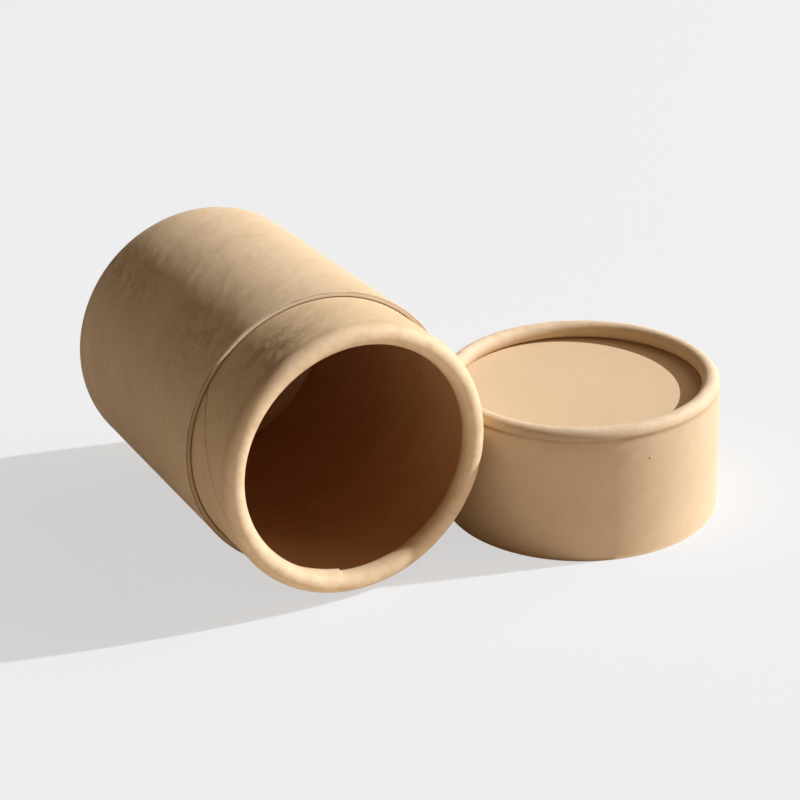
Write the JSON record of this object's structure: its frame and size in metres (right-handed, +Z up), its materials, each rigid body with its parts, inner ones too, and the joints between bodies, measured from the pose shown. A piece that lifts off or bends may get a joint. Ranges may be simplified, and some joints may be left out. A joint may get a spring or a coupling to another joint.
{
  "type": "kraft paper tube",
  "caption": "Round kraft paper tube lying on its side, open, with a rolled mouth on a glued-in neck, and its slip-on lid with a rolled rim standing beside it.",
  "frame": {"origin": "on the surface that the tube and lid rest on, under the middle of the two together", "axes": "+Z up, -Y out of the tube's mouth along its axis, +X from the tube towards the lid"},
  "size_m": [0.1303, 0.1034, 0.065],
  "materials": {
    "kraft_outside": "matte uncoated brown kraft paper",
    "kraft_neck": "matte uncoated brown kraft paper",
    "kraft_disc": "matte uncoated brown kraft paper, faintly mottled"
  },
  "bodies": {
    "tube": {"body_tube": "kraft_outside", "neck_tube": "kraft_neck", "base_disc": "kraft_disc"},
    "lid": {"lid_tube": "kraft_outside", "lid_disc": "kraft_disc"}
  },
  "joints": [
    {"name": "lid_lift", "type": "slide", "parent": "tube", "child": "lid", "axis": [0, 0, 1], "range_m": [0, 0.075]}
  ]
}
